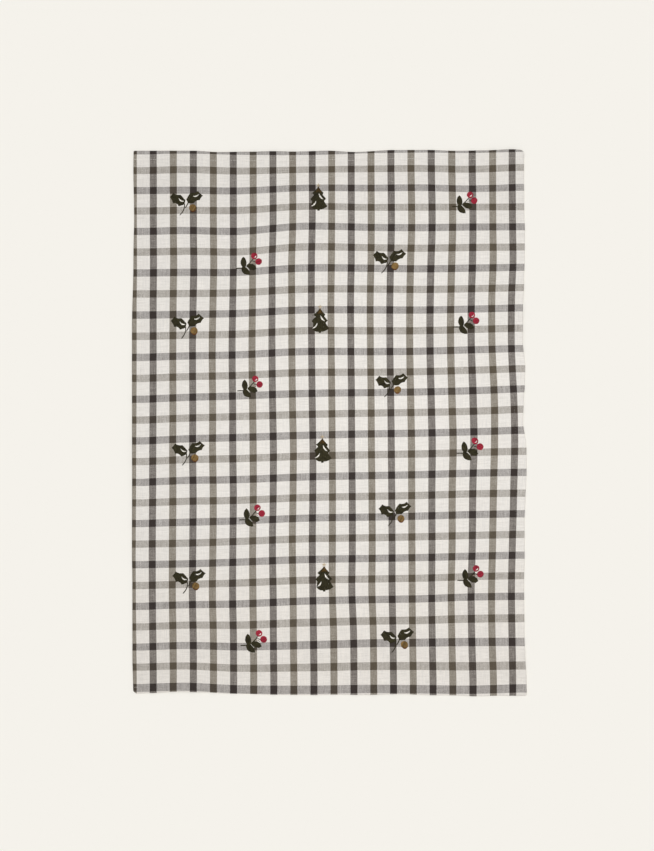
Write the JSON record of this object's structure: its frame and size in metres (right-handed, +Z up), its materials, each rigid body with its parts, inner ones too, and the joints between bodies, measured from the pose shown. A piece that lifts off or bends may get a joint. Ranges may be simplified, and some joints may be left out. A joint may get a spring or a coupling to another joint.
{
  "type": "tea towel",
  "caption": "Flat woven cotton tea towel in a charcoal and olive check on cream, with a stitched hem and small embroidered winter sprigs, lying face up.",
  "frame": {"origin": "on the underside, below the middle of the towel's box", "axes": "+Z up out of the face, +Y along the towel to its top hem, +X across it to its right side"},
  "size_m": [0.5068, 0.7006, 0.0045],
  "materials": {
    "checked_cotton": "plain weave of cream cotton yarn with charcoal and olive stripes both ways",
    "hem_thread": "cream cotton sewing thread",
    "green_thread": "dark green embroidery thread in satin stitch",
    "gold_thread": "old gold embroidery thread in satin stitch",
    "red_thread": "red embroidery thread in satin stitch"
  },
  "bodies": {
    "root": {"tea_towel": "checked_cotton"}
  },
  "joints": []
}
